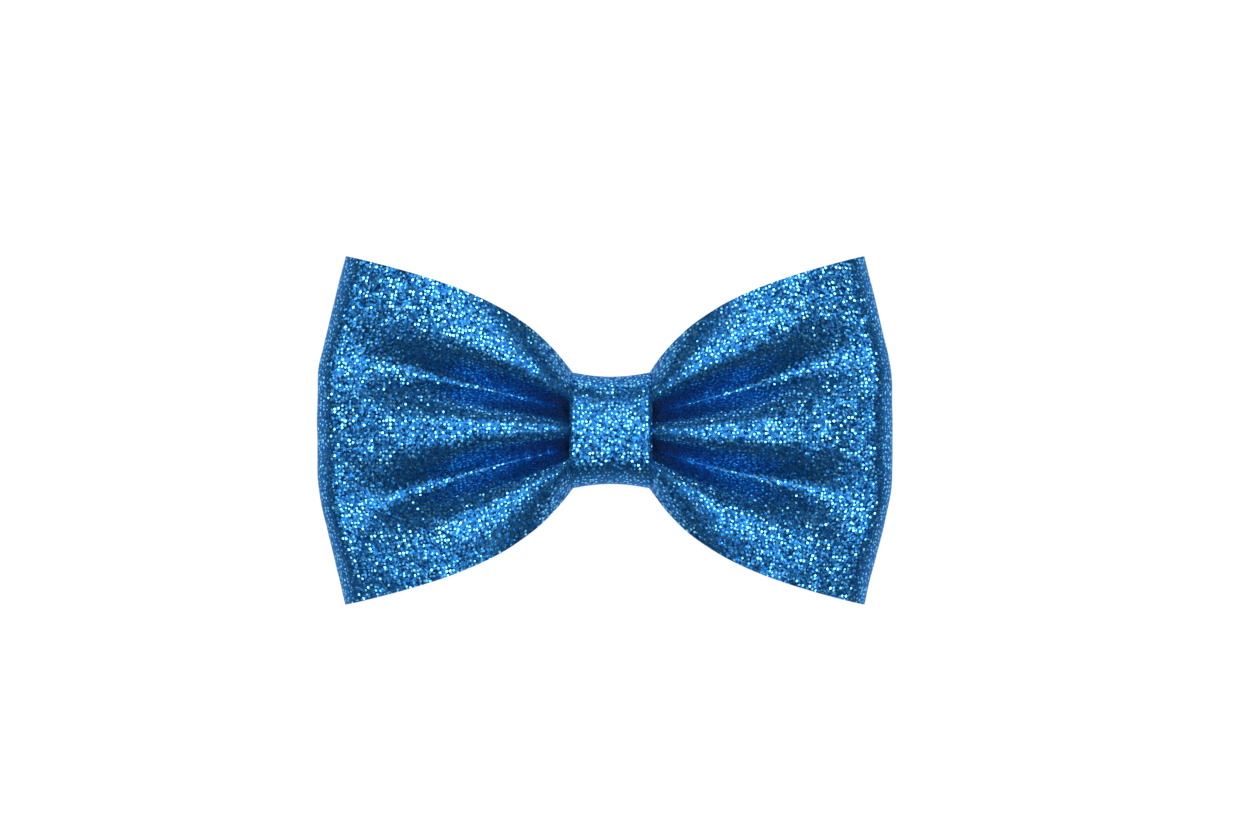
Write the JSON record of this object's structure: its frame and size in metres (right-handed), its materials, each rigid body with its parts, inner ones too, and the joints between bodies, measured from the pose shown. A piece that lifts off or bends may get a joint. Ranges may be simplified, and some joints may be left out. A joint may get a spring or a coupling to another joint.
{
  "type": "gift bow",
  "caption": "Pre-tied gift bow: flat loops of stiff glitter fabric gathered at a wrapped knot, on a card with a peel-off adhesive foam pad.",
  "frame": {"origin": "middle of the resting face under the knot, on the release liner's underside", "axes": "+X along the bow to the right loop, +Y across the strip, +Z out of the gift towards the viewer"},
  "size_m": [0.1148, 0.0694, 0.0198],
  "materials": {
    "glitter_fabric": "glitter",
    "interlining": "matte",
    "thread": "satin",
    "hot_glue": "satin",
    "card": "matte",
    "foam": "matte",
    "liner": "satin"
  },
  "bodies": {
    "knot": {"gathered_waist": "glitter_fabric", "binding_thread": "thread", "knot_wrap": "glitter_fabric", "wrap_glue": "hot_glue", "card_glue": "hot_glue", "mounting_card": "card", "foam_pad": "foam"},
    "left_loop_body": {"left_loop": "glitter_fabric", "left_interlining": "interlining"},
    "right_loop_body": {"right_loop": "glitter_fabric", "right_interlining": "interlining"},
    "liner_body": {"release_liner": "liner"}
  },
  "joints": [
    {"name": "left_loop_flex", "type": "hinge", "parent": "knot", "child": "left_loop_body", "pos_m": [-0.0115, 0, 0.0135], "axis": [0, 1, 0], "range_deg": [-6, 18], "stiffness_Nm_per_rad": 0.05},
    {"name": "right_loop_flex", "type": "hinge", "parent": "knot", "child": "right_loop_body", "pos_m": [0.0115, 0, 0.0135], "axis": [0, -1, 0], "range_deg": [-6, 18], "stiffness_Nm_per_rad": 0.05},
    {"name": "release_liner_peel", "type": "slide", "parent": "knot", "child": "liner_body", "axis": [0, 0, -1], "range_m": [0, 0.025]}
  ]
}
